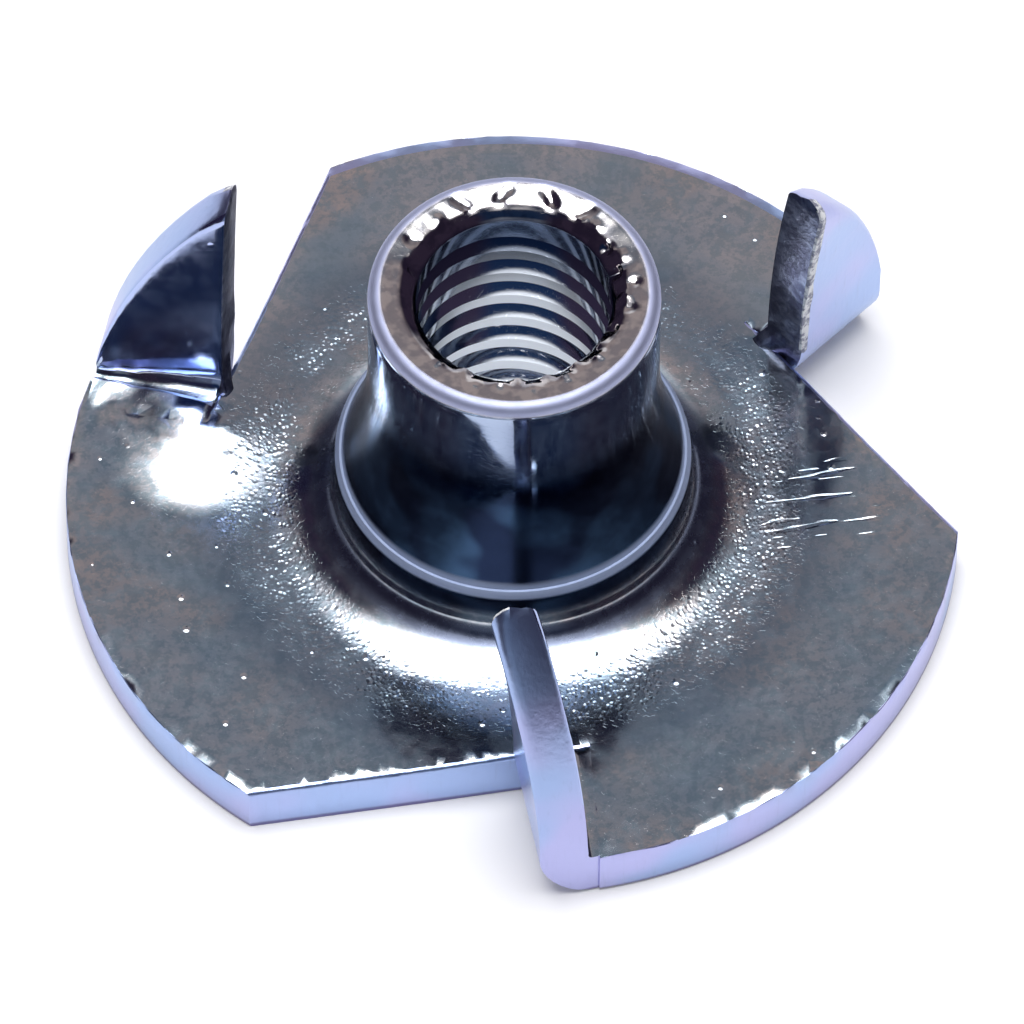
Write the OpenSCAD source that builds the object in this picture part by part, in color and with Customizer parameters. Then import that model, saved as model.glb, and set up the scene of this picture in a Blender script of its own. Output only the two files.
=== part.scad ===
// Pronged tee nut: a round steel blank drawn up into a tapped barrel, with three prongs
// sheared from its rim and folded up. Millimetres. Origin on the barrel axis at the
// flange underside, +Z up the barrel.

/* [Flange] */
// Diameter of the round blank
flange_d = 19.05; // [18:0.05:22]
// Thickness of the sheet
sheet_t = 1.2; // [1.15:0.05:1.4]
// Radius rolled over the flange's top edge by the blanking punch
edge_r = 0.2; // [0.1:0.05:0.3]

/* [Barrel] */
// Outside diameter of the barrel above its flare
barrel_d = 6.14; // [6:0.02:6.3]
// Height of the barrel mouth above the flange underside
barrel_h = 8.55; // [8.4:0.05:11]
// Height at which the barrel begins to flare towards its foot
flare_top_h = 6; // [5:0.1:6.6]
// Diameter at the foot of the flare
flare_d = 7.28; // [7.1:0.02:7.36]
// Radius of the outer edge of the mouth
mouth_r = 0.25; // [0.1:0.05:0.35]
// Drop of the coned mouth from its outer edge to the bore
mouth_drop = 0.2; // [0:0.05:0.4]

/* [Bore] */
// Diameter of the bore at the crests of its thread
bore_d = 4.12; // [3.9:0.02:4.3]
// Width of the chamfer round the bore at the mouth
bore_chamfer = 0.15; // [0.05:0.05:0.3]
// Radius of the rounded funnel that leads from the underside into the bore
funnel_r = 2.4; // [1.8:0.1:2.6]

/* [Root] */
// Diameter of the collar that the barrel stands on
collar_d = 7.56; // [7.4:0.02:7.8]
// Height of the ledge on top of the collar
collar_h = 2.85; // [2.5:0.05:3.2]
// Radius of the tight fillet at the foot of the collar
root_r = 0.6; // [0.4:0.05:0.8]
// Radius of the shallow dish that runs from the fillet out to the flat flange
dish_r = 2.6; // [2:0.1:3]
// Slope at which the dish meets the fillet, in degrees
dish_slope = 30; // [20:1:35]

/* [Prongs] */
// Number of prongs round the rim
prong_count = 3; // [2:1:4]
// Direction of the first prong from the barrel axis, in degrees
first_prong_angle = 150; // [0:5:355]
// Distance from the barrel axis to the straight cut that frees each prong
cut_distance = 6.74; // [6.5:0.05:7.2]
// Height of the prong tips above the flange underside
prong_h = 7.1; // [6:0.1:8]
// Thickness of the prongs, thinned a little by the fold
prong_t = 1.05; // [0.9:0.05:1.1]
// Distance of the fold line from the barrel axis, where it leaves the cut
fold_offset = 0.24; // [0:0.02:0.6]
// Angle between the prong and the line square to the cut, in degrees
prong_twist = 7; // [0:1:12]
// Angle by which the sheared face of a prong was turned from the cut as it was folded
cut_skew = 6; // [0:1:12]
// Inside radius of the fold
fold_r = 0.4; // [0.2:0.05:0.5]
// Distance by which the tips are bent back from upright, towards their own notches
tip_bend = 0.5; // [0.1:0.05:0.8]

/* [Hidden] */
$fn = 128;
flange_r = flange_d / 2;
barrel_r = barrel_d / 2;
flare_foot_r = flare_d / 2;
collar_r = collar_d / 2;
bore_r = bore_d / 2;
// Length by which a cutter passes the surface that it cuts
overlap = 0.3;
// The dish and the fillet share a tangent at the slope where they meet
root_centre = [collar_r + root_r, sheet_t + dish_r - (dish_r - root_r) * cos(dish_slope)];
dish_centre = [root_centre[0] + (dish_r - root_r) * sin(dish_slope), sheet_t + dish_r];
// The flare is an arc tangent to the barrel wall that ends on the collar's ledge
flare_h = flare_top_h - collar_h;
flare_out = flare_foot_r - barrel_r;
flare_r = (flare_h * flare_h + flare_out * flare_out) / (2 * flare_out);
// Only short pieces of the large circles are used, so those circles are divided more finely
large_fn = 4 * $fn;
// Half of the straight cut, from its middle to the corner on the rim
cut_half = sqrt(flange_r * flange_r - cut_distance * cut_distance);
// The outside of the fold is concentric with the inside of a sheet of the prong's thickness
fold_outer_r = prong_t + fold_r;
// The upright starts above the fold and bends back along one large arc
upright_z = sheet_t + fold_r;
upright_h = prong_h - upright_z;
bend_r = (upright_h * upright_h + tip_bend * tip_bend) / (2 * tip_bend);
// The prong keeps the rim's own arc, standing on edge with its tip at prong_h
rim_arc_h = prong_h - cut_half;

// Section through half of the flange, with its rolled-over top edge
module flange_section() {
    square([flange_r - edge_r, sheet_t]);
    square([flange_r, sheet_t - edge_r]);
    translate([flange_r - edge_r, sheet_t - edge_r]) circle(edge_r);
}

// Section through the dish, the root fillet and the collar that they rise to
module root_section() {
    past_arc = 2 * dish_r;
    difference() {
        square([dish_centre[0], root_centre[1]]);
        translate(root_centre) circle(root_r);
        intersection() {
            translate(dish_centre) circle(dish_r);
            polygon([
                dish_centre,
                dish_centre - past_arc * [sin(dish_slope), cos(dish_slope)],
                dish_centre - past_arc * [0, 1],
            ]);
        }
    }
    square([collar_r, collar_h]);
}

// Section through the flare and the barrel, with the rounded outer edge of its mouth
module barrel_section() {
    difference() {
        square([flare_foot_r, flare_top_h]);
        translate([barrel_r + flare_r, flare_top_h]) circle(flare_r, $fn = large_fn);
    }
    square([barrel_r, barrel_h - mouth_r]);
    square([barrel_r - mouth_r, barrel_h]);
    translate([barrel_r - mouth_r, barrel_h - mouth_r]) circle(mouth_r);
}

// Section through the bore, the coned mouth above it and the funnel on the underside
module bore_section() {
    cone_z = barrel_h - mouth_drop;
    cone_r = barrel_r - mouth_r;
    translate([0, -overlap]) square([bore_r, barrel_h + 2 * overlap]);
    polygon([
        [0, cone_z - bore_chamfer],
        [bore_r, cone_z - bore_chamfer],
        [bore_r + bore_chamfer, cone_z],
        [cone_r, barrel_h],
        [cone_r, barrel_h + overlap],
        [0, barrel_h + overlap],
    ]);
    difference() {
        translate([0, -overlap]) square([bore_r + funnel_r, funnel_r + overlap]);
        translate([bore_r + funnel_r, funnel_r]) circle(funnel_r);
    }
}

// The drawn blank: flange, root, barrel and bore turned round the barrel axis
module drawn_blank() {
    rotate_extrude() difference() {
        union() {
            flange_section();
            root_section();
            barrel_section();
        }
        bore_section();
    }
}

// Plan of one notch: beyond the straight cut, back to the foot of the fold
module notch_plan() {
    intersection() {
        translate([cut_distance, -flange_r]) square([flange_r, 2 * flange_r]);
        translate([cut_distance, -fold_offset]) rotate(prong_twist)
            translate([-flange_r, -2 * flange_r]) square([2 * flange_r, 2 * flange_r + fold_r]);
    }
}

// Section through the fold and the upright. The first axis runs outwards from the
// upright's inner face, which stands on the fold line.
module fold_section() {
    difference() {
        union() {
            intersection() {
                translate([-fold_r, 0]) square(fold_outer_r);
                translate([-fold_r, fold_outer_r]) circle(fold_outer_r);
            }
            translate([-fold_r, fold_outer_r]) square([fold_outer_r, upright_z - fold_outer_r]);
        }
        translate([-fold_r, upright_z]) circle(fold_r);
    }
    intersection() {
        translate([0, upright_z]) square([prong_t + tip_bend, upright_h]);
        difference() {
            translate([bend_r, upright_z]) circle(bend_r, $fn = large_fn);
            translate([bend_r + prong_t, upright_z]) circle(bend_r, $fn = large_fn);
        }
    }
}

// One prong, folded up and trimmed to its sheared face and to the rim's own arc
module prong() {
    intersection() {
        translate([cut_distance, -fold_offset, 0]) rotate([90, 0, prong_twist - 90])
            translate([0, 0, -flange_r]) linear_extrude(2 * flange_r) fold_section();
        translate([cut_distance, -fold_offset, 0]) rotate([0, 0, cut_skew])
            translate([0, -flange_r, 0]) cube([flange_r, 2 * flange_r, prong_h]);
        translate([0, flange_r, rim_arc_h]) rotate([90, 0, 0]) cylinder(2 * flange_r, r = flange_r);
        cylinder(prong_h, r = flange_r);
    }
}

module tee_nut() {
    color("lightsteelblue") union() {
        difference() {
            drawn_blank();
            for (i = [0 : prong_count - 1])
                rotate([0, 0, first_prong_angle + i * 360 / prong_count])
                    translate([0, 0, -overlap])
                        linear_extrude(sheet_t + 2 * overlap) notch_plan();
        }
        for (i = [0 : prong_count - 1])
            rotate([0, 0, first_prong_angle + i * 360 / prong_count]) prong();
    }
}

tee_nut();
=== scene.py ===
import math

import bmesh
import bpy
from mathutils import Euler, Matrix, Vector


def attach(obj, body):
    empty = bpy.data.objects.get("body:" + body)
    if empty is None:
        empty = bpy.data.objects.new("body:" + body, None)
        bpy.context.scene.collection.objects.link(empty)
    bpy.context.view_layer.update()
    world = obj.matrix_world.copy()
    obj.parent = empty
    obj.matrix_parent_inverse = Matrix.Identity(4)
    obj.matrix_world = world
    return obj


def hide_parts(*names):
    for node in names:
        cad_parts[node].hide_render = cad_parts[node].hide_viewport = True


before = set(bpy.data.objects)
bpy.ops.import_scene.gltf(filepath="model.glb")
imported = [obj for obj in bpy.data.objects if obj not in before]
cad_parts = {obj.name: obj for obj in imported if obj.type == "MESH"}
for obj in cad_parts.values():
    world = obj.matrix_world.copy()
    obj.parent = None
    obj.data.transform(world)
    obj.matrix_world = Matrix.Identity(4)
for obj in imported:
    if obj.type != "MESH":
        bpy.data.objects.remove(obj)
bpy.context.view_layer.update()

# ---------------------------------------------------------------------------------------
# Finishes. Bright zinc over rolled steel, faintly mottled, and pitted and frosted where
# the draw stretched it; and the same zinc over the grainy edges that the shears left.
# A ring is a soft-edged band by radius and a span one by height, both in millimetres.
# ---------------------------------------------------------------------------------------
millimetres = 1000
nodes_in_a_row = 8
node_spacing = (220, 320)

bore_ring = (2.5, 2.42)
barrel_ring = (2.6, 2.8, 4.0, 3.8)
barrel_span = (1.9, 2.3, 8.4, 8.2)
mouth_edge_ring = (2.76, 2.86, 3.3, 3.2)
mouth_edge_span = (8.24, 8.36)
mouth_span = (8.2, 8.3)
ledge_ring = (3.56, 3.63, 3.9, 3.84)
ledge_span = (2.62, 2.74, 3.1, 2.95)
root_ring = (3.82, 3.9, 4.45, 4.15)
root_span = (2.3, 2.0)
prong_ring = (6.3, 6.6)
prong_span = (1.4, 1.8)
stretched_ring = (4.45, 4.95, 6.5, 5.4)
shadowed_ring = (4.6, 5.3, 7.6, 6.2)
bore_painted_light_span = (7.9, 5.6)
barrel_painted_light_span = (5.5, 6.9)
rough_barrel_span = (5.6, 4.6)

zinc_grey = (0.66, 0.67, 0.71)
zinc_blue = (0.47, 0.58, 0.67)
zinc_rose = (0.72, 0.655, 0.64)
cloud_tint = (0.40, 0.47, 0.55)
fleck_tint = (0.36, 0.47, 0.53)
shadowed_tint = (0.22, 0.29, 0.38)
prong_tint = (0.45, 0.53, 0.80)
# Painted reflection on the barrel: near-black navy low down, lighter towards the top.
barrel_painted_reflection_tints = [(0.018, 0.03, 0.07), (0.05, 0.10, 0.19), (0.40, 0.48, 0.64)]
# Painted shade: a dark crescent round the barrel's foot.
root_painted_shade_tint = (0.20, 0.23, 0.32)
# Bore: painted shade just below the mouth, and lighter zinc lower down as a painted highlight.
bore_painted_shade_and_light_tints = [(0.12, 0.16, 0.25), (0.88, 0.93, 1.0)]
land_tints = [(0.46, 0.43, 0.45), (0.76, 0.70, 0.67)]
mouth_edge_tint = (0.44, 0.47, 0.65)
ledge_tint = (0.38, 0.45, 0.62)

grain_height = 0.015
grain_height_all_over = 0.0003
swell_height = 0.008
swell_height_on_sides = -0.005
tear_height = 0.016
pit_height = 0.012
pit_reach = (-0.05, 0.19)
pit_edge = 0.17
scratch_height = -0.016
scratch_place = (6.3, -1.4, 1.2)
scratch_limits = (1.5, 0.8)
scratch_turn = math.radians(12)
scratch_stretch = (0.9, 6.0, 1.0)


def add_node(tree, kind, **settings):
    """Adds a node in the next free place of its tree and sets it."""
    row, column = divmod(len(tree.nodes), nodes_in_a_row)
    node = tree.nodes.new(kind)
    node.location = (column * node_spacing[0], -row * node_spacing[1])
    for name, value in settings.items():
        setattr(node, name, value)
    return node


def feed(tree, socket, value):
    """Links a socket to another node's output, or writes a plain number or colour in it."""
    if isinstance(value, bpy.types.NodeSocket):
        tree.links.new(value, socket)
    elif isinstance(value, tuple):
        socket.default_value = (*value, 1) if len(socket.default_value) == 4 else value
    else:
        socket.default_value = value


def feed_all(tree, sockets, values):
    """Feeds the sockets that a table of values names."""
    for name, value in values.items():
        feed(tree, sockets[name], value)


def calculate(tree, operation, *values):
    """Does arithmetic on up to three numbers."""
    node = add_node(tree, "ShaderNodeMath", operation=operation)
    feed_all(tree, node.inputs, dict(enumerate(values)))
    return node.outputs[0]


def times(tree, first, second):
    """Puts out the product of two values."""
    return calculate(tree, "MULTIPLY", first, second)


def add_share(tree, total, value, share):
    """Puts out the total plus a share of a value."""
    return calculate(tree, "MULTIPLY_ADD", value, share, total)


def measure(tree, operation, *vectors):
    """Does vector arithmetic, and gives the node's outputs."""
    node = add_node(tree, "ShaderNodeVectorMath", operation=operation)
    feed_all(tree, node.inputs, dict(enumerate(vectors)))
    return node.outputs


def object_millimetres(tree, stretch=(1, 1, 1)):
    """Puts out the object's own coordinates in millimetres."""
    place = add_node(tree, "ShaderNodeTexCoord").outputs["Object"]
    return measure(tree, "MULTIPLY", place, tuple(millimetres * value for value in stretch))["Vector"]


def axes_of(tree, vector):
    """Puts out a vector's x, y and z."""
    node = add_node(tree, "ShaderNodeSeparateXYZ")
    feed(tree, node.inputs[0], vector)
    return node.outputs


def noise(tree, source, scale, detail, roughness=0.5, distortion=0.0):
    """Puts out a soft noise; a scale of 1 gives waves about a millimetre long."""
    node = add_node(tree, "ShaderNodeTexNoise")
    feed_all(tree, node.inputs, {"Vector": source, "Scale": scale, "Detail": detail,
                                 "Roughness": roughness, "Distortion": distortion})
    return node.outputs["Fac"]


def cells(tree, source, scale):
    """Puts out the distance from the middle of each random cell, and a number of the cell's own."""
    node = add_node(tree, "ShaderNodeTexVoronoi")
    feed_all(tree, node.inputs, {"Vector": source, "Scale": scale})
    parts = add_node(tree, "ShaderNodeSeparateColor")
    feed(tree, parts.inputs[0], node.outputs["Color"])
    return node.outputs["Distance"], parts.outputs[0]


def fade(tree, source, low, high, weakest=0.0, strongest=1.0):
    """Puts out a soft step from the weakest at low to the strongest at high."""
    node = add_node(tree, "ShaderNodeMapRange", interpolation_type="SMOOTHSTEP")
    feed_all(tree, node.inputs, {"Value": source, "From Min": low, "From Max": high,
                                 "To Min": weakest, "To Max": strongest})
    return node.outputs["Result"]


def patches(tree, source, low, high, weakest=0.0, strongest=1.0, **pattern):
    """Puts out soft patches, cut out of a noise between two of its levels."""
    return fade(tree, noise(tree, source, **pattern), low, high, weakest, strongest)


def band(tree, value, limits):
    """Puts out 1 inside soft limits and 0 outside them; a pair of limits is one open end."""
    inside = fade(tree, value, *limits[:2])
    return times(tree, inside, fade(tree, value, *limits[2:])) if limits[2:] else inside


def zone(tree, radius, ring, level, span):
    """Puts out 1 where the surface lies both in a ring and in a span."""
    return times(tree, band(tree, radius, ring), band(tree, level, span))


def blend(tree, factor, first, second):
    """Mixes two colours, from the first where the factor is 0 to the second where it is 1."""
    node = add_node(tree, "ShaderNodeMix", data_type="RGBA")
    feed_all(tree, node.inputs, {0: factor, 6: first, 7: second})
    return node.outputs[2]


def bump(tree, height):
    """Turns a height in millimetres into a normal."""
    node = add_node(tree, "ShaderNodeBump")
    feed_all(tree, node.inputs, {"Strength": 1.0, "Distance": 1 / millimetres, "Height": height})
    return node.outputs["Normal"]


def start_finish(name, metallic=1.0):
    """Starts a finish, and gives it with its tree, its shader and the place on the part."""
    finish = bpy.data.materials.new(name)
    finish.use_nodes = True
    tree = finish.node_tree
    shader = tree.nodes["Principled BSDF"]
    feed(tree, shader.inputs["Metallic"], metallic)
    return finish, tree, shader, object_millimetres(tree)


zinc, tree, shader, spot = start_finish("zinc_plate")
level = axes_of(tree, spot)["Z"]
flat_spot = measure(tree, "MULTIPLY", spot, (1.0, 1.0, 0.0))["Vector"]
radius = measure(tree, "LENGTH", flat_spot)["Value"]
bore = band(tree, radius, bore_ring)
barrel_side = zone(tree, radius, barrel_ring, level, barrel_span)
rough_barrel = times(tree, barrel_side, fade(tree, level, *rough_barrel_span))
sides = calculate(tree, "MAXIMUM", barrel_side, bore)
mouth = band(tree, level, mouth_span)
mouth_edge = zone(tree, radius, mouth_edge_ring, level, mouth_edge_span)
ledge = zone(tree, radius, ledge_ring, level, ledge_span)
root = zone(tree, radius, root_ring, level, root_span)
prong_skin = zone(tree, radius, prong_ring, level, prong_span)
shadowed = band(tree, radius, shadowed_ring)
stretched = times(tree, band(tree, radius, stretched_ring),
                  patches(tree, spot, 0.36, 0.6, weakest=0.35, scale=0.6, detail=1))

cool_patch = patches(tree, spot, 0.42, 0.62, scale=0.32, detail=2)
warm_patch = patches(tree, spot, 0.48, 0.7, scale=0.3, detail=1, distortion=0.6)
cloud = patches(tree, spot, 0.4, 0.66, strongest=0.5, scale=2.2, detail=3, roughness=0.65)
fleck = patches(tree, spot, 0.42, 0.6, strongest=0.6, scale=4.5, detail=3, roughness=0.75)
barrel_painted_shade_patches = patches(tree, spot, 0.42, 0.6, scale=0.7, detail=1)
land_patch = patches(tree, spot, 0.4, 0.6, scale=2.6, detail=2, roughness=0.6)
# The barrel's painted reflection: dark patches low down, lighter zinc above.
low_barrel_painted_shade = blend(tree, barrel_painted_shade_patches, *barrel_painted_reflection_tints[:2])
barrel_painted_reflection = blend(tree, fade(tree, level, *barrel_painted_light_span), low_barrel_painted_shade, barrel_painted_reflection_tints[2])
bore_painted_shade_and_light = blend(tree, fade(tree, level, *bore_painted_light_span), *bore_painted_shade_and_light_tints)
land_tint = blend(tree, land_patch, *land_tints)
colour = blend(tree, cool_patch, zinc_grey, zinc_blue)
for mask, tint in ((warm_patch, zinc_rose), (cloud, cloud_tint), (fleck, fleck_tint),
                   (times(tree, shadowed, 0.6), shadowed_tint), (prong_skin, prong_tint),
                   (barrel_side, barrel_painted_reflection), (root, root_painted_shade_tint), (bore, bore_painted_shade_and_light),
                   (times(tree, mouth, 0.8), land_tint), (mouth_edge, mouth_edge_tint),
                   (ledge, ledge_tint)):
    colour = blend(tree, mask, colour, tint)
feed(tree, shader.inputs["Base Color"], colour)

grain_distance, grain_choice = cells(tree, spot, 11.0)
pit_distance, pit_choice = cells(tree, spot, 1.9)
grain = times(tree, grain_distance, fade(tree, grain_choice, 0.2, 1, 0.1, 1))
swell = noise(tree, spot, scale=0.9, detail=1)
tear = noise(tree, spot, scale=1.7, detail=1)
pit_size = fade(tree, pit_choice, 0.35, 1, *pit_reach)
pit = fade(tree, calculate(tree, "SUBTRACT", pit_size, pit_distance), 0, pit_edge)
scratched = fade(tree, measure(tree, "DISTANCE", spot, scratch_place)["Value"], *scratch_limits)
scratch_lines = add_node(tree, "ShaderNodeMapping")
feed_all(tree, scratch_lines.inputs, {"Vector": spot, "Rotation": (0.0, 0.0, scratch_turn),
                                      "Scale": scratch_stretch})
scratch = patches(tree, scratch_lines.outputs[0], 0.6, 0.7, scale=1.0, detail=1)
height = times(tree, grain, add_share(tree, grain_height_all_over, stretched, grain_height))
for relief, reach in ((swell, add_share(tree, swell_height, sides, swell_height_on_sides)),
                      (tear, times(tree, mouth, tear_height)),
                      (pit, add_share(tree, pit_height, sides, -pit_height)),
                      (scratch, times(tree, scratched, scratch_height))):
    height = add_share(tree, height, relief, reach)
feed(tree, shader.inputs["Normal"], bump(tree, height))

satin = 0.1
for mask, change in ((cloud, 0.1), (sides, -0.04), (mouth_edge, 0.45), (ledge, 0.4),
                     (rough_barrel, 0.16), (root, 0.15), (stretched, 0.08)):
    satin = add_share(tree, satin, mask, change)
feed(tree, shader.inputs["Roughness"], satin)

edge_tints = [(0.36, 0.47, 0.74), (0.45, 0.46, 0.74)]
drag_tint = (0.27, 0.32, 0.50)
# Painted shadow: the sheared edge darkens at its foot, where the rim mirrors the contact shadow.
painted_contact_shadow_tint = (0.13, 0.10, 0.24)
painted_contact_shadow_span = (0.16, 0.07)
drag_stretch = (9, 9, 0.9)
drag_height = 0.004
chip_height = 0.006
sheared, tree, shader, spot = start_finish("zinc_on_sheared_edge")
drag = noise(tree, object_millimetres(tree, drag_stretch), scale=1.0, detail=3, roughness=0.6)
chips = noise(tree, spot, scale=4.5, detail=2, roughness=0.6)
colour = blend(tree, patches(tree, spot, 0.38, 0.64, scale=0.35, detail=2), *edge_tints)
colour = blend(tree, fade(tree, drag, 0.55, 0.8, strongest=0.25), colour, drag_tint)
painted_contact_shadow_mask = fade(tree, axes_of(tree, spot)["Z"], *painted_contact_shadow_span, strongest=0.8)
feed_all(tree, shader.inputs, {
    "Base Color": blend(tree, painted_contact_shadow_mask, colour, painted_contact_shadow_tint), "Roughness": 0.3,
    "Normal": bump(tree, add_share(tree, times(tree, chips, chip_height), drag, drag_height))})

torn_metal = bpy.data.node_groups.new("torn_metal", "ShaderNodeTree")
for kind, names in (("NodeSocketVector", ["Spot"]), ("NodeSocketColor", ["Hollow", "Crest"]),
                    ("NodeSocketFloat", ["Scale", "Detail", "Coarseness", "Low", "High", "Depth"])):
    for name in names:
        torn_metal.interface.new_socket(name, in_out="INPUT", socket_type=kind)
torn_metal.interface.new_socket("Color", in_out="OUTPUT", socket_type="NodeSocketColor")
torn_metal.interface.new_socket("Normal", in_out="OUTPUT", socket_type="NodeSocketVector")
given = add_node(torn_metal, "NodeGroupInput").outputs
flake = noise(torn_metal, given["Spot"], given["Scale"], given["Detail"], given["Coarseness"])
crest = fade(torn_metal, flake, given["Low"], given["High"])
feed_all(torn_metal, add_node(torn_metal, "NodeGroupOutput").inputs, {
    "Color": blend(torn_metal, crest, given["Hollow"], given["Crest"]),
    "Normal": bump(torn_metal, times(torn_metal, flake, given["Depth"]))})


def torn_finish(name, metallic, roughness, values):
    """Makes a finish out of the shared torn metal and its own values."""
    finish, tree, shader, spot = start_finish(name, metallic)
    torn = add_node(tree, "ShaderNodeGroup", node_tree=torn_metal)
    feed_all(tree, torn.inputs, {"Spot": spot, **values})
    feed_all(tree, shader.inputs, {"Base Color": torn.outputs["Color"], "Roughness": roughness,
                                   "Normal": torn.outputs["Normal"]})
    return finish


burr = torn_finish("zinc_on_burr", 0.35, 0.5, {
    "Hollow": (0.25, 0.26, 0.34), "Crest": (0.82, 0.83, 0.84), "Low": 0.42, "High": 0.56,
    "Scale": 4.0, "Detail": 3.0, "Coarseness": 0.7, "Depth": 0.06})
# Torn metal grain; its dark colour is painted shade for the web's hollow and the prongs' cut ends.
torn_face_painted_shade = torn_finish("zinc_on_torn_face", 1.0, 0.35, {
    "Hollow": (0.10, 0.10, 0.16), "Crest": (0.26, 0.27, 0.36), "Low": 0.4, "High": 0.65,
    "Scale": 3.0, "Detail": 4.0, "Coarseness": 0.65, "Depth": 0.03})


def assign_finish(thing, finish):
    """Gives the selected faces a finish, in edit mode."""
    if finish.name not in thing.data.materials:
        thing.data.materials.append(finish)
    thing.active_material_index = thing.data.materials.find(finish.name)
    bpy.ops.object.material_slot_assign()


# ---------------------------------------------------------------------------------------
# Drawn blank. A disc of sheet steel whose middle is drawn up through a dished root and a
# ledged collar into a flared barrel. Its section is drawn as a wire, in millimetres, and
# spun once round the barrel's axis.
# ---------------------------------------------------------------------------------------
hair = 0.001
sheet = 1.2
flange_radius = 9.51
rim_roll = 0.02
rim_break = 0.06
rim_band = 0.2
rim_chipping = 0.012
far_side = (22, 118)
far_side_drop = 0.09
flat_normal = 0.99
barrel_radius = 3.07
barrel_height = 8.55
mouth_round = 0.25
mouth_dish_drop = 0.2
bore_radius = 2.06
bore_break = 0.12
land_knee_radius = 2.36
land_knee_drop = 0.08
funnel_round = 2.4
collar_radius = 3.78
collar_break = 0.03
collar_break_drop = 0.06
ledge_height = 2.85
ledge_fall = 0.07
ledge_inner_radius = 3.64
ledge_groove = 0.05
ledge_groove_drop = 0.01
flare_top = 6.0
root_round = 0.6
dish_round = 2.6
dish_slope = math.radians(30)
spin_steps = 240


def start_wire(name, x, z):
    """Adds a plane at x, z, closes it to one vertex and stays in edit mode with it selected."""
    bpy.ops.object.select_all(action="DESELECT")
    bpy.ops.mesh.primitive_plane_add(size=0.1, location=(0, 0, 0))
    wire = bpy.context.object
    wire.name = name
    bpy.ops.object.mode_set(mode="EDIT")
    bpy.ops.mesh.select_mode(type="VERT")
    bpy.ops.mesh.select_all(action="SELECT")
    bpy.ops.mesh.merge(type="CENTER")
    bpy.ops.transform.translate(value=(x, 0, z))
    return wire


def line_to(wire, x, z, steps=1):
    """Extrudes the wire's end in a straight line to x, z."""
    end = next(v.co.copy() for v in bmesh.from_edit_mesh(wire.data).verts if v.select)
    step = ((x - end.x) / steps, 0, (z - end.z) / steps)
    for _ in range(steps):
        bpy.ops.mesh.extrude_region_move(TRANSFORM_OT_translate={"value": step})


def arc_about(x, z, degrees, steps):
    """Spins the wire's end about x, z; a positive angle is clockwise as seen from -Y."""
    bpy.ops.mesh.spin(steps=steps, angle=-math.radians(degrees), center=(x, 0, z), axis=(0, 1, 0))


def merge_doubles():
    """Merges vertices in one place, which closes a wire, in edit mode."""
    bpy.ops.mesh.select_all(action="SELECT")
    bpy.ops.mesh.remove_doubles(threshold=hair / 2)


def clean_shell():
    """Merges doubles and turns every face outwards."""
    merge_doubles()
    bpy.ops.mesh.normals_make_consistent(inside=False)


def select_faces(thing, wanted):
    """Selects the faces whose normal and middle are wanted, in edit mode."""
    bpy.ops.mesh.select_all(action="DESELECT")
    for face in bmesh.from_edit_mesh(thing.data).faces:
        face.select = wanted(face.normal, face.calc_center_median())


root_x = collar_radius + root_round
root_z = sheet + dish_round - (dish_round - root_round) * math.cos(dish_slope)
dish_x = root_x + (dish_round - root_round) * math.sin(dish_slope)
dish_z = sheet + dish_round
flare_out = ledge_inner_radius - barrel_radius
flare_rise = flare_top - ledge_height
flare_round = (flare_rise ** 2 + flare_out ** 2) / (2 * flare_out)
flare_angle = math.degrees(math.asin(flare_rise / flare_round))

blank = start_wire("tee_nut_body", bore_radius, funnel_round)
line_to(blank, bore_radius, barrel_height - mouth_dish_drop - bore_break, steps=3)
line_to(blank, bore_radius + bore_break, barrel_height - mouth_dish_drop)
line_to(blank, land_knee_radius, barrel_height - land_knee_drop, steps=3)
line_to(blank, barrel_radius - mouth_round, barrel_height, steps=5)
arc_about(barrel_radius - mouth_round, barrel_height - mouth_round, 90, steps=6)
line_to(blank, barrel_radius, flare_top, steps=6)
arc_about(barrel_radius + flare_round, flare_top, -flare_angle, steps=16)
line_to(blank, ledge_inner_radius + ledge_groove, ledge_height - ledge_groove_drop)
line_to(blank, collar_radius - collar_break, ledge_height - ledge_fall, steps=2)
line_to(blank, collar_radius, ledge_height - ledge_fall - collar_break_drop)
line_to(blank, collar_radius, root_z, steps=3)
arc_about(root_x, root_z, -60, steps=9)
arc_about(dish_x, dish_z, -30, steps=10)
line_to(blank, flange_radius - rim_roll, sheet, steps=16)
arc_about(flange_radius - rim_roll, sheet - rim_roll, 90, steps=2)
line_to(blank, flange_radius, rim_break, steps=3)
arc_about(flange_radius - rim_break, rim_break, 90, steps=3)
line_to(blank, bore_radius + funnel_round, 0, steps=14)
arc_about(bore_radius + funnel_round, funnel_round, 90, steps=14)
merge_doubles()
bpy.ops.mesh.spin(steps=spin_steps, angle=math.tau, center=(0, 0, 0), axis=(0, 0, 1))
clean_shell()
assign_finish(blank, zinc)
bpy.ops.mesh.select_all(action="DESELECT")
bpy.ops.mesh.select_mode(type="VERT")
rim = [v for v in bmesh.from_edit_mesh(blank.data).verts
       if v.co.xy.length > flange_radius - rim_roll - hair and v.co.z > sheet - rim_band]
for vertex in rim:
    vertex.select = far_side[0] < math.degrees(math.atan2(vertex.co.y, vertex.co.x)) < far_side[1]
bpy.ops.transform.translate(value=(0, 0, -far_side_drop))
for vertex in rim:
    vertex.select = True
bpy.ops.transform.vertex_random(offset=rim_chipping, normal=0, seed=2)
bpy.ops.mesh.select_mode(type="FACE")
select_faces(blank, lambda normal, middle:
             middle.xy.length > flange_radius - rim_band and abs(normal.z) < flat_normal)
assign_finish(blank, sheared)
bpy.ops.object.mode_set(mode="OBJECT")

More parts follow.
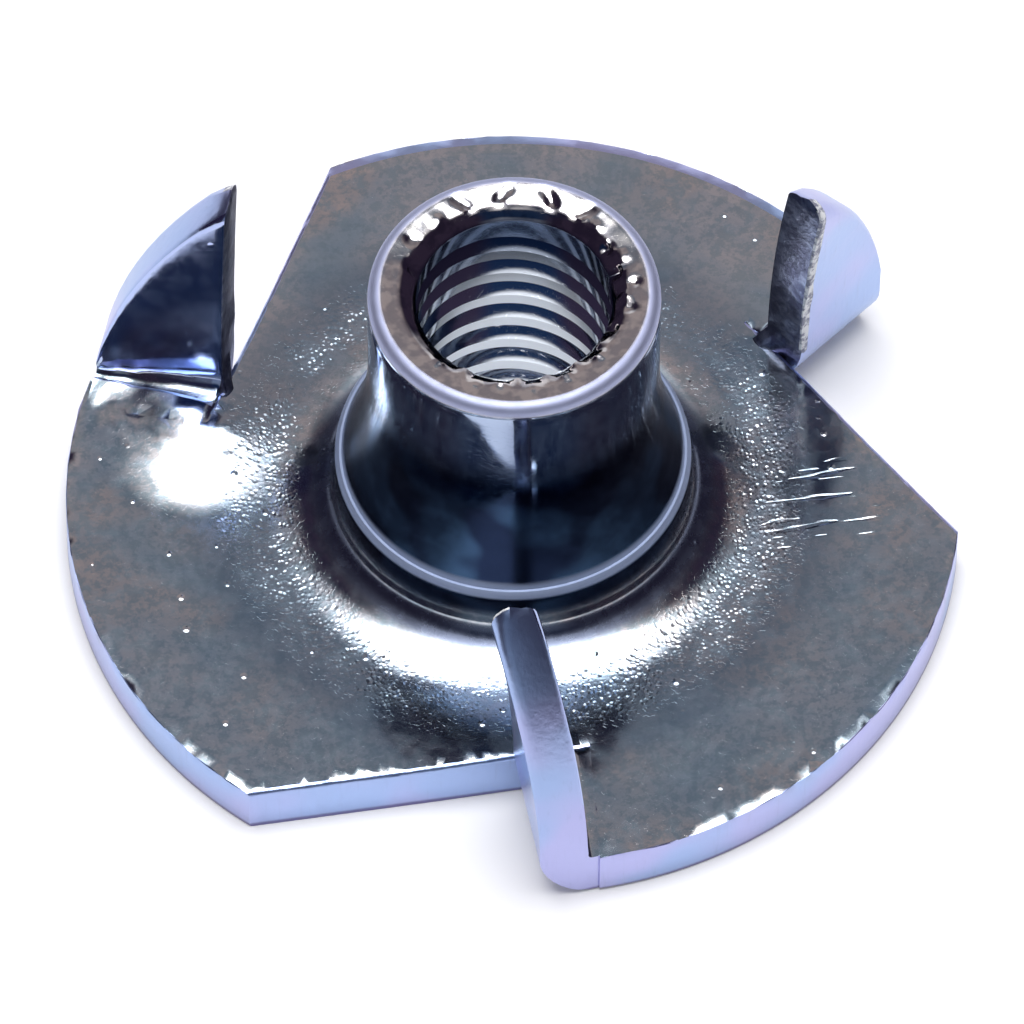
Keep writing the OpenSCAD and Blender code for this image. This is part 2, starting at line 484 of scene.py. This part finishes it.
# ---------------------------------------------------------------------------------------
# Notches and prongs. A straight shear cut frees a piece of the rim, which is folded up
# square beside the notch that it leaves, so that its outline is the rim's own round stood
# on edge. The fold is tight at the rim and loose at the cut, where it drags up a web.
# ---------------------------------------------------------------------------------------
cut_distance = 6.74
cut_roll = 0.11
cut_skew = math.radians(6)
cut_edge_round = 0.07
cut_chipping = 0.009
cut_steps = 76
cutter_overshoot = 0.5
cutter_radius = flange_radius + 1
cutter_length = flange_radius + 3
slit_gap = 0.03
prong_thickness = 1.03
rim_shares = [0, 0.08, 0.2, 0.33, 0.46, 0.58, 0.68, 0.76, 0.83, 0.89, 0.935, 0.97, 1]
plate_steps = 10
bend_start = 1.5
bend_span = 5.6
bend_power = 1.9
fold_outer = (1.7, 1.3)
fold_overlap = 0.3
plate_overlap = 0.1
fold_sink = 0.02
edge_inner_round = 0.18
edge_outer_round = 0.3
tip_inner_round = 0.38
tip_outer_round = 0.5
tip_share = 0.2
tip_slope = 0.15
tip_turn = 80
lowest_tip = 1.6
press_start = 0.12
press_sink = 0.006
press_onset = 8
outer_facing = 0.3
edge_facing = 0.6
edge_above = 0.5
rim_facing = 0.5
cut_facing = -0.7
burr_facing = 0.25
burr_width = 0.16
burr_jag = 0.035
web_stations = [(0.6, 0.97, 0), (0.3, 0.98, 0.08), (0.04, 0.98, 0.2),
                (-0.07, 0.74, 0.05), (-0.19, 0.46, 0), (-0.34, 0.25, 0)]
web_middle = (-0.5, 0, 0.7)
die_gap = 0.005
die_height = 20

# Each prong's own values: the direction it stands in and its twist, in degrees, then how far
# its foot stands out, its bend, its height, the round of its top edge, how far out it reaches,
# its inner fold at the cut and at the rim, and how the fold lifted and creased the flange.
prongs = [
    {"direction": 150, "twist": 9, "foot": 0.24, "bend": 0.50, "height": 7.05, "arc": 9.61,
     "reach": 9.5, "fold_inner": (0.5, 0.16), "lift": 0.06, "lift_reach": 2.2, "press": 0.095,
     "press_width": 0.42, "rumple": 1.0},
    {"direction": 270, "twist": 3, "foot": 0.10, "bend": 0.62, "height": 6.95, "arc": 9.63,
     "reach": 9.5, "fold_inner": (0.38, 0.1), "lift": 0.05, "lift_reach": 2.5, "press": 0.0,
     "press_width": 0.15, "rumple": 0.15},
    {"direction": 30, "twist": 9.5, "foot": 0.36, "bend": 0.50, "height": 7.3, "arc": 9.51,
     "reach": 9.36, "fold_inner": (0.4, 0.16), "lift": 0.08, "lift_reach": 2.5, "press": 0.01,
     "press_width": 0.15, "rumple": 0.4},
]
lift_from = 0.6
lift_strip = (-2.6, 0.2)
plate_from = -0.1
plate_above = 0.3
crease_from = -0.9
crease_strip = (0.25, 1.7)
crease_heights = (-0.05, 0.6)
crease_height = 0.08
crease_grain = 0.4
swell_angle = 155.8
swell_ring = 6.97
swell_rise = 0.27
swell_reach = 2.6


def pick(thing):
    """Selects one object alone and makes it the active one."""
    bpy.ops.object.select_all(action="DESELECT")
    thing.select_set(True)
    bpy.context.view_layer.objects.active = thing


def apply_boolean(target, tool, operation):
    """Cuts, joins or crosses the target with the tool, and throws the tool away."""
    boolean = target.modifiers.new("cut", "BOOLEAN")
    boolean.operation = operation
    boolean.solver = "EXACT"
    boolean.material_mode = "TRANSFER"
    boolean.object = tool
    pick(target)
    bpy.ops.object.modifier_apply(modifier=boolean.name)
    bpy.data.objects.remove(tool, do_unlink=True)


def place(thing, x, y, turn):
    """Turns and then moves a finished shape, and puts the move into its mesh."""
    pick(thing)
    thing.location = (x, y, 0)
    thing.rotation_euler = (0, 0, turn)
    bpy.ops.object.transform_apply(location=True, rotation=True, scale=True)


def bridge(wires):
    """Joins a row of closed wires into one skin and closes its two ends."""
    bpy.ops.object.select_all(action="DESELECT")
    for wire in wires:
        wire.select_set(True)
    bpy.context.view_layer.objects.active = wires[0]
    bpy.ops.object.join()
    bpy.ops.object.mode_set(mode="EDIT")
    bpy.ops.mesh.select_all(action="SELECT")
    bpy.ops.mesh.bridge_edge_loops()
    bpy.ops.mesh.select_all(action="SELECT")
    bpy.ops.mesh.fill_holes(sides=0)
    clean_shell()
    return wires[0]


def triangulate():
    """Splits the twisted faces of a shell in triangles, so that each one is flat."""
    bpy.ops.mesh.select_all(action="SELECT")
    bpy.ops.mesh.quads_convert_to_tris(quad_method="SHORTEST_DIAGONAL", ngon_method="BEAUTY")
    bpy.ops.object.mode_set(mode="OBJECT")


def from_to(ends, share):
    """Gives the value at a share of the way between two ends."""
    return ends[0] + share * (ends[1] - ends[0])


def shear_notch(values, twist, width):
    """Cuts the notch: its edge is rolled where the shear entered, and chipped."""
    slit_at_cut = fold_outer[0] - prong_thickness - values["foot"] - slit_gap
    slit_turn = math.atan(math.tan(twist) - (fold_outer[0] - fold_outer[1]) / width)
    cutter = start_wire("notch_cutter", cut_distance, -cutter_overshoot)
    line_to(cutter, cut_distance, sheet - cut_roll)
    arc_about(cut_distance - cut_roll, sheet - cut_roll, -90, steps=4)
    line_to(cutter, cut_distance - cut_roll, sheet + cutter_overshoot)
    line_to(cutter, cutter_radius, sheet + cutter_overshoot)
    line_to(cutter, cutter_radius, -cutter_overshoot)
    line_to(cutter, cut_distance, -cutter_overshoot)
    merge_doubles()
    bpy.ops.mesh.edge_face_add()
    bpy.ops.transform.translate(value=(0, -flange_radius, 0))
    step = (0, cutter_length / cut_steps, 0)
    for _ in range(cut_steps):
        bpy.ops.mesh.extrude_region_move(TRANSFORM_OT_translate={"value": step})
    for vertex in bmesh.from_edit_mesh(cutter.data).verts:
        on_roll = abs(vertex.co.z - sheet) < cut_roll + hair
        vertex.select = on_roll and vertex.co.x < cut_distance + hair
    bpy.ops.transform.vertex_random(offset=cut_chipping, normal=0, seed=7)
    bpy.ops.mesh.select_all(action="SELECT")
    bpy.ops.mesh.bisect(plane_co=(cut_distance, slit_at_cut, 0),
                        plane_no=(-math.sin(slit_turn), math.cos(slit_turn), 0),
                        use_fill=True, clear_outer=True)
    clean_shell()
    assign_finish(cutter, sheared)
    triangulate()
    place(cutter, 0, 0, math.radians(values["direction"]))
    apply_boolean(blank, cutter, "DIFFERENCE")


def draw_fold(values, share, tip, depth, skew):
    """Draws the section through a prong and its fold, outwards from the prong's inner face."""
    def lean(z):
        return values["bend"] * max(0, (z - bend_start) / bend_span) ** bend_power

    inner = from_to(values["fold_inner"], share)
    outer = from_to(fold_outer, share)
    press = values["press"] * min(1, share * press_onset)
    near_tip = max(0, 1 - share / tip_share)
    inner_round = from_to((edge_inner_round, tip_inner_round), near_tip)
    outer_round = from_to((edge_outer_round, tip_outer_round), near_tip)
    foot_height = sheet + inner
    inner_end = tip - inner_round
    outer_end = tip + tip_slope - outer_round
    back_edge = -max(inner + fold_overlap, outer - prong_thickness + plate_overlap)
    press_end = back_edge - values["press_width"]
    wire = start_wire("prong", back_edge, 0)
    line_to(wire, prong_thickness - outer, 0)
    arc_about(prong_thickness - outer, outer, -90, steps=9)
    for k in range(1, plate_steps + 1):
        z = outer + (outer_end - outer) * k / plate_steps
        line_to(wire, prong_thickness + lean(z), z)
    arc_about(prong_thickness + lean(outer_end) - outer_round, outer_end, -tip_turn, steps=4)
    line_to(wire, lean(inner_end) + inner_round, tip)
    arc_about(lean(inner_end) + inner_round, inner_end, -90, steps=5)
    for k in range(1, plate_steps + 1):
        z = inner_end + (foot_height - inner_end) * k / plate_steps
        line_to(wire, lean(z), z)
    arc_about(-inner, foot_height, 90, steps=6)
    line_to(wire, -inner - press_start, sheet + press)
    line_to(wire, press_end, sheet - press_sink, steps=2)
    line_to(wire, press_end, sheet / 2)
    line_to(wire, back_edge, sheet / 2)
    line_to(wire, back_edge, 0)
    merge_doubles()
    bpy.ops.transform.rotate(value=skew, orient_axis="Z", center_override=(0, 0, 0))
    bpy.ops.transform.translate(value=(0, depth, 0))
    bpy.ops.object.mode_set(mode="OBJECT")
    return wire


def fold_prong(values, twist, width):
    """Folds a prong up: its top edge follows the rim's own round, stood on end."""
    wires = []
    arc_at_cut = math.sqrt(values["arc"] ** 2 - cut_distance ** 2)
    for share in rim_shares:
        along = cut_distance + share * width
        fall = arc_at_cut - math.sqrt(values["arc"] ** 2 - along ** 2)
        tip = max(values["height"] - values["lift"] - fall, lowest_tip)
        wires.append(draw_fold(values, share, tip, along - cut_distance - fold_sink, twist - cut_skew))
    prong = bridge(wires)
    bpy.ops.mesh.select_all(action="DESELECT")
    faces = bmesh.from_edit_mesh(prong.data).faces
    max(faces, key=lambda f: len(f.verts) - f.calc_center_median().y).select = True
    bpy.ops.mesh.bevel(offset=cut_edge_round, segments=2, affect="EDGES", clamp_overlap=True)
    clean_shell()
    assign_finish(prong, zinc)
    select_faces(prong, lambda normal, middle:
                 normal.x > outer_facing or abs(normal.x) < edge_facing and (
                     normal.y > rim_facing or middle.z > sheet + edge_above))
    assign_finish(prong, sheared)
    # Each cut end gets the torn face, darkened with painted shade.
    select_faces(prong, lambda normal, middle: normal.y < cut_facing and middle.z > sheet)
    assign_finish(prong, torn_face_painted_shade)
    select_faces(prong, lambda normal, middle:
                 normal.x > burr_facing and middle.y < burr_width and middle.z > lowest_tip)
    assign_finish(prong, burr)
    bpy.ops.transform.vertex_random(offset=burr_jag, normal=0, seed=5)
    triangulate()
    return prong


def draw_outline(name, points):
    """Draws a closed outline of straight lines."""
    wire = start_wire(name, *points[0])
    for x, z in points[1:] + points[:1]:
        line_to(wire, x, z)
    merge_doubles()
    return wire


def draw_web(depth, shrink, bulge):
    """Draws one section of the web, which shrinks towards the flange beside the cut."""
    wire = draw_outline("web", [
        (0.08, 1.8), (0.02, 1.55), (-0.1, 1.34), (-0.3, 1.18), (-0.61, 1.05), (-0.61, 0.5),
        (-0.43, 0.17), (0.2 + bulge, 0.36), (0.7 + bulge, 0.95), (0.92 + bulge * 0.3, 1.6),
        (0.9, 2.1), (0.5, 2.0)])
    bpy.ops.transform.resize(value=(shrink, 1, shrink), center_override=web_middle)
    bpy.ops.transform.translate(value=(0, depth, 0))
    bpy.ops.object.mode_set(mode="OBJECT")
    return wire


def drag_web(prong):
    """Adds the web of metal that the fold drags up at the cut."""
    web = bridge([draw_web(*station) for station in web_stations])
    # The web gets the torn face, darkened with painted shade.
    assign_finish(web, torn_face_painted_shade)
    triangulate()
    apply_boolean(prong, web, "UNION")


def trim_to_rim(prong):
    """Trims a prong to the round of the blanking die that cut the flange."""
    bpy.ops.object.select_all(action="DESELECT")
    bpy.ops.mesh.primitive_cylinder_add(vertices=spin_steps, radius=flange_radius - die_gap, depth=die_height)
    die = bpy.context.object
    die.data.materials.append(sheared)
    apply_boolean(prong, die, "INTERSECT")


def along_and_across(vertex, values):
    """Gives how far a vertex lies along a prong's direction, and how far across it."""
    direction = math.radians(values["direction"])
    x, y, _ = vertex.co
    return (x * math.cos(direction) + y * math.sin(direction),
            y * math.cos(direction) - x * math.sin(direction))


def pull(offset, reach):
    """Moves what is selected, and the metal round it with it, less and less."""
    bpy.ops.transform.translate(value=offset, use_proportional_edit=True,
                                proportional_edit_falloff="SMOOTH", proportional_size=reach)


def pull_at(spot, offset, reach):
    """Pulls the part's skin at the vertex nearest to a spot."""
    bpy.ops.mesh.select_all(action="DESELECT")
    vertices = bmesh.from_edit_mesh(blank.data).verts
    min(vertices, key=lambda v: (v.co - spot).length_squared).select = True
    pull(offset, reach)


def outwards(angle):
    """Gives the unit step away from the barrel's axis, at an angle in degrees."""
    return Vector((math.cos(math.radians(angle)), math.sin(math.radians(angle)), 0))


for values in prongs:
    twist = math.radians(values["twist"])
    width = values["reach"] - cut_distance
    shear_notch(values, twist, width)
    prong = fold_prong(values, twist, width)
    drag_web(prong)
    place(prong, 0, 0, twist - math.pi / 2)
    place(prong, cut_distance, -values["foot"], 0)
    place(prong, 0, 0, math.radians(values["direction"]))
    trim_to_rim(prong)
    apply_boolean(blank, prong, "UNION")

crease = blank.vertex_groups.new(name="crease")
bpy.ops.object.mode_set(mode="EDIT")
bpy.ops.mesh.select_mode(type="VERT")
for values in prongs:
    foot = values["foot"]
    bpy.ops.mesh.select_all(action="DESELECT")
    shell = bmesh.from_edit_mesh(blank.data)
    for vertex in shell.verts:
        along, across = along_and_across(vertex, values)
        on_flange = along > cut_distance + lift_from and lift_strip[0] - foot < across < lift_strip[1] - foot
        on_plate = vertex.co.z > sheet + plate_above and along > cut_distance + plate_from and across < 0
        vertex.select = on_flange or on_plate
    shell.select_flush_mode()
    pull((0, 0, values["lift"]), values["lift_reach"])
    for vertex in shell.verts:
        along, across = along_and_across(vertex, values)
        at_fold = along > cut_distance + crease_from and crease_strip[0] - foot < across < crease_strip[1]
        vertex.select = at_fold and sheet + crease_heights[0] < vertex.co.z < sheet + crease_heights[1]
    shell.select_flush_mode()
    bpy.context.scene.tool_settings.vertex_group_weight = values["rumple"]
    bpy.ops.object.vertex_group_assign()
pull_at(outwards(swell_angle) * swell_ring + Vector((0, 0, sheet)), (0, 0, swell_rise), swell_reach)
bpy.ops.object.mode_set(mode="OBJECT")
crumple = bpy.data.textures.new("crumple", "CLOUDS")
crumple.noise_scale = crease_grain
crumple.noise_depth = 1
creasing = blank.modifiers.new("creasing", "DISPLACE")
creasing.texture = crumple
creasing.texture_coords = "LOCAL"
creasing.vertex_group = crease.name
creasing.strength = crease_height
pick(blank)
bpy.ops.object.modifier_apply(modifier=creasing.name)

# ---------------------------------------------------------------------------------------
# Thread. A right-handed tapped thread, cut by a V ridge swept along a helix as a tap
# cuts it. It fades out in the funnel on the underside.
# ---------------------------------------------------------------------------------------
thread_pitch = 0.794
thread_major_radius = 2.41
thread_turns = 9
thread_start = 0.86
thread_core = 1.9
thread_steps = 120
half_mouth = 0.252
half_root = 0.05
root_break = 0.02
core_flare = 0.09

flank = [(thread_core, half_mouth + core_flare), (bore_radius, half_mouth),
         (thread_major_radius - root_break, half_root + root_break / 2),
         (thread_major_radius, half_root - root_break)]
tap = draw_outline("tap", [(x, -z) for x, z in flank] + flank[::-1])
bpy.ops.object.mode_set(mode="OBJECT")
helix = tap.modifiers.new("helix", "SCREW")
helix.axis = "Z"
helix.angle = math.tau
helix.screw_offset = thread_pitch
helix.iterations = thread_turns
helix.steps = helix.render_steps = thread_steps
helix.use_smooth_shade = False
bpy.ops.object.modifier_apply(modifier=helix.name)
bpy.ops.object.mode_set(mode="EDIT")
bpy.ops.mesh.select_all(action="SELECT")
bpy.ops.transform.translate(value=(0, 0, thread_start))
bpy.ops.mesh.fill_holes(sides=0)
clean_shell()
bpy.ops.object.mode_set(mode="OBJECT")
apply_boolean(blank, tap, "DIFFERENCE")

# ---------------------------------------------------------------------------------------
# Burrs. The tap dragged the part's own metal up round the mouth: curls stand on the bore's
# edge, and the coned land is nicked and scored where chips tore out. They are pulled one by
# one: each one's angle and ring, how far it goes outwards and upwards, and its reach.
# ---------------------------------------------------------------------------------------
mouth_burrs = [
    (219, 2.42, 0.0, 0.05, 0.24), (233, 2.17, -0.05, 0.06, 0.26), (241, 2.45, 0.0, 0.045, 0.24),
    (254, 2.38, 0.0, 0.065, 0.3), (262, 2.2, -0.05, 0.06, 0.24), (270, 2.45, 0.0, 0.045, 0.28),
    (279, 2.2, -0.04, 0.05, 0.22), (288, 2.4, 0.0, 0.06, 0.26), (297, 2.17, -0.05, 0.06, 0.26),
    (309, 2.4, 0.0, 0.05, 0.24), (316, 2.2, -0.03, 0.05, 0.24), (36, 2.4, 0.06, 0.05, 0.24),
    (22, 2.25, 0.1, -0.06, 0.22), (13, 2.5, 0.0, 0.035, 0.2), (8, 2.2, 0.12, -0.07, 0.22),
    (-3, 2.6, 0.0, -0.06, 0.18), (-11, 2.35, 0.0, 0.05, 0.22), (-18, 2.45, 0.0, -0.05, 0.2),
    (-31, 2.2, 0.06, -0.06, 0.22), (152, 2.3, 0.04, -0.06, 0.26), (138, 2.6, 0.0, -0.05, 0.22),
    (122, 2.5, 0.0, 0.04, 0.24),
]
chip_marks = [(103, 5, 0.05), (88, -6, 0.045), (61, 7, 0.06), (48, -5, 0.05)]
chip_rings = [2.45, 2.56, 2.67, 2.78]
chip_reach = 0.2
chip_fading = 1 / 8
for angle, slant, deepest in chip_marks:
    for step, ring in enumerate(chip_rings):
        slanted = angle + slant * step / (len(chip_rings) - 1)
        mouth_burrs.append((slanted, ring, 0.0, -deepest * (1 - step * chip_fading), chip_reach))
bpy.ops.object.mode_set(mode="EDIT")
bpy.ops.mesh.select_mode(type="VERT")
for angle, ring, out, up, reach in mouth_burrs:
    spot = outwards(angle) * ring + Vector((0, 0, barrel_height - mouth_dish_drop))
    pull_at(spot, outwards(angle) * out + Vector((0, 0, up)), reach)
bpy.ops.object.mode_set(mode="OBJECT")

# ---------------------------------------------------------------------------------------
# Finish of the shape. Doubles and slivers are merged, sheared faces are smoothed across
# their shallow angles, and the whole part is brought from millimetres to metres.
# ---------------------------------------------------------------------------------------
sliver = 0.003
smoothed_angle = math.radians(32)

pick(blank)
bpy.ops.object.mode_set(mode="EDIT")
bpy.ops.mesh.select_all(action="SELECT")
bpy.ops.mesh.remove_doubles(threshold=sliver)
bpy.ops.mesh.quads_convert_to_tris(quad_method="BEAUTY", ngon_method="BEAUTY")
bpy.ops.mesh.select_non_manifold(extend=False, use_wire=False, use_boundary=False,
                                 use_non_contiguous=False, use_verts=False)
bpy.ops.mesh.merge(type="COLLAPSE")
bpy.ops.mesh.select_all(action="SELECT")
bpy.ops.mesh.normals_make_consistent(inside=False)
bpy.ops.transform.resize(value=(1 / millimetres,) * 3, center_override=(0, 0, 0))
bpy.ops.object.mode_set(mode="OBJECT")
bpy.ops.object.shade_smooth_by_angle(angle=smoothed_angle)

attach(blank, "root")
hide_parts("tee_nut")

# ---------------------------------------------------------------------------------------
# Floor. A wide sheet of matt white paper that the part stands on. A faint glow that only
# the lens and the part's gloss see keeps it white, and leaves the part's shadow on it.
# ---------------------------------------------------------------------------------------
floor_width = 4
paper_white = (0.9, 0.9, 0.92)
paper_roughness = 0.8
paper_glow = 0.12

bpy.ops.object.select_all(action="DESELECT")
bpy.ops.mesh.primitive_plane_add(size=floor_width)
floor = bpy.context.object
floor.name = "floor"
paper = bpy.data.materials.new("white_paper")
paper.use_nodes = True
tree = paper.node_tree
rays = add_node(tree, "ShaderNodeLightPath").outputs
seen = calculate(tree, "MAXIMUM", rays["Is Camera Ray"], rays["Is Glossy Ray"])
feed_all(tree, tree.nodes["Principled BSDF"].inputs, {
    "Base Color": paper_white, "Roughness": paper_roughness,
    "Emission Color": (1.0, 1.0, 1.0), "Emission Strength": times(tree, seen, paper_glow)})
floor.data.materials.append(paper)

# ---------------------------------------------------------------------------------------
# Light. A round soft lamp hangs over the part, inside a tent of light whose walls are dim
# at the front and the sides and brighter behind, so that the plating mirrors them as
# bands. A wall is lit in bands of height, where 0 is the horizon and 1 is overhead.
# ---------------------------------------------------------------------------------------
front_turn = math.radians(-9.7)
back_foot = (0.85, 0.86, 0.9)
back_bands = [(0.3, 0.5, (0.37, 0.33, 0.34)), (0.795, 0.84, (0.162, 0.197, 0.25)),
              (0.85, 0.93, (0.9, 0.9, 0.9))]
front_foot = (0.26, 0.29, 0.34)
front_bands = [(0.4, 0.62, (0.010, 0.024, 0.066)), (0.83, 0.89, (0.95, 0.96, 1.0))]
side_foot = (0.030, 0.022, 0.045)
side_bands = [(0.86, 0.95, (0.8, 0.8, 0.8))]
back_limits = (0.34, 0.50)
side_limits = (0.28, 0.55)
lamp_size = 0.5
lamp_watts = 3.6
lamp_distance = 0.6
lamp_azimuth = math.radians(80.3)
lamp_elevation = math.radians(89)

world = bpy.data.worlds.new("studio")
bpy.context.scene.world = world
world.use_nodes = True
tree = world.node_tree
axes = add_node(tree, "ShaderNodeVectorRotate", rotation_type="Z_AXIS")
sky = add_node(tree, "ShaderNodeTexCoord").outputs["Generated"]
feed_all(tree, axes.inputs, {"Vector": sky, "Angle": -front_turn})
side, behind, rise = axes_of(tree, axes.outputs[0])


def light_wall(colour, bands):
    """Builds one wall of light from its foot upwards."""
    for low, high, tint in bands:
        colour = blend(tree, fade(tree, rise, low, high), colour, tint)
    return colour


walls = blend(tree, fade(tree, behind, *back_limits), light_wall(front_foot, front_bands),
              light_wall(back_foot, back_bands))
walls = blend(tree, fade(tree, calculate(tree, "ABSOLUTE", side), *side_limits), walls,
              light_wall(side_foot, side_bands))
feed(tree, tree.nodes["Background"].inputs["Color"], walls)

lamp = bpy.data.lights.new("overhead", "AREA")
lamp.shape = "DISK"
lamp.size = lamp_size
lamp.energy = lamp_watts
soft_box = bpy.data.objects.new("overhead", lamp)
bpy.context.collection.objects.link(soft_box)
soft_box.location = lamp_distance * Vector((math.cos(lamp_azimuth) * math.cos(lamp_elevation),
                                            math.sin(lamp_azimuth) * math.cos(lamp_elevation),
                                            math.sin(lamp_elevation)))
soft_box.rotation_euler = soft_box.location.to_track_quat("Z", "Y").to_euler()

# ---------------------------------------------------------------------------------------
# Camera. A long lens on a stand, that looks steeply down on the part from its front. It
# aims just behind the barrel's foot, and the flange fills most of the square picture.
# ---------------------------------------------------------------------------------------
elevation = math.radians(55.11)
roll = math.radians(0.44)
distance = 0.3
aim_aside = -0.013
aim_behind = 0.346
pixels_per_mm = 46.8
picture_pixels = 1024
film_width = 36
nearest = 0.01
farthest = 10

aim = Vector((aim_aside * math.cos(front_turn) - aim_behind * math.sin(front_turn),
              aim_aside * math.sin(front_turn) + aim_behind * math.cos(front_turn), 0)) / millimetres
back = Vector((math.sin(front_turn) * math.cos(elevation), -math.cos(front_turn) * math.cos(elevation),
               math.sin(elevation)))
lens = bpy.data.cameras.new("camera")
lens.sensor_width = film_width
lens.lens = film_width * pixels_per_mm * distance * millimetres / picture_pixels
lens.clip_start = nearest
lens.clip_end = farthest
camera = bpy.data.objects.new("camera", lens)
bpy.context.collection.objects.link(camera)
camera.location = aim + back * distance
upright = Euler((math.pi / 2 - elevation, 0, front_turn)).to_matrix()
camera.rotation_euler = (upright @ Matrix.Rotation(roll, 3, "Z")).to_euler()
bpy.context.view_layer.update()
scene = bpy.context.scene
scene.camera = camera
scene.view_settings.view_transform = "Standard"
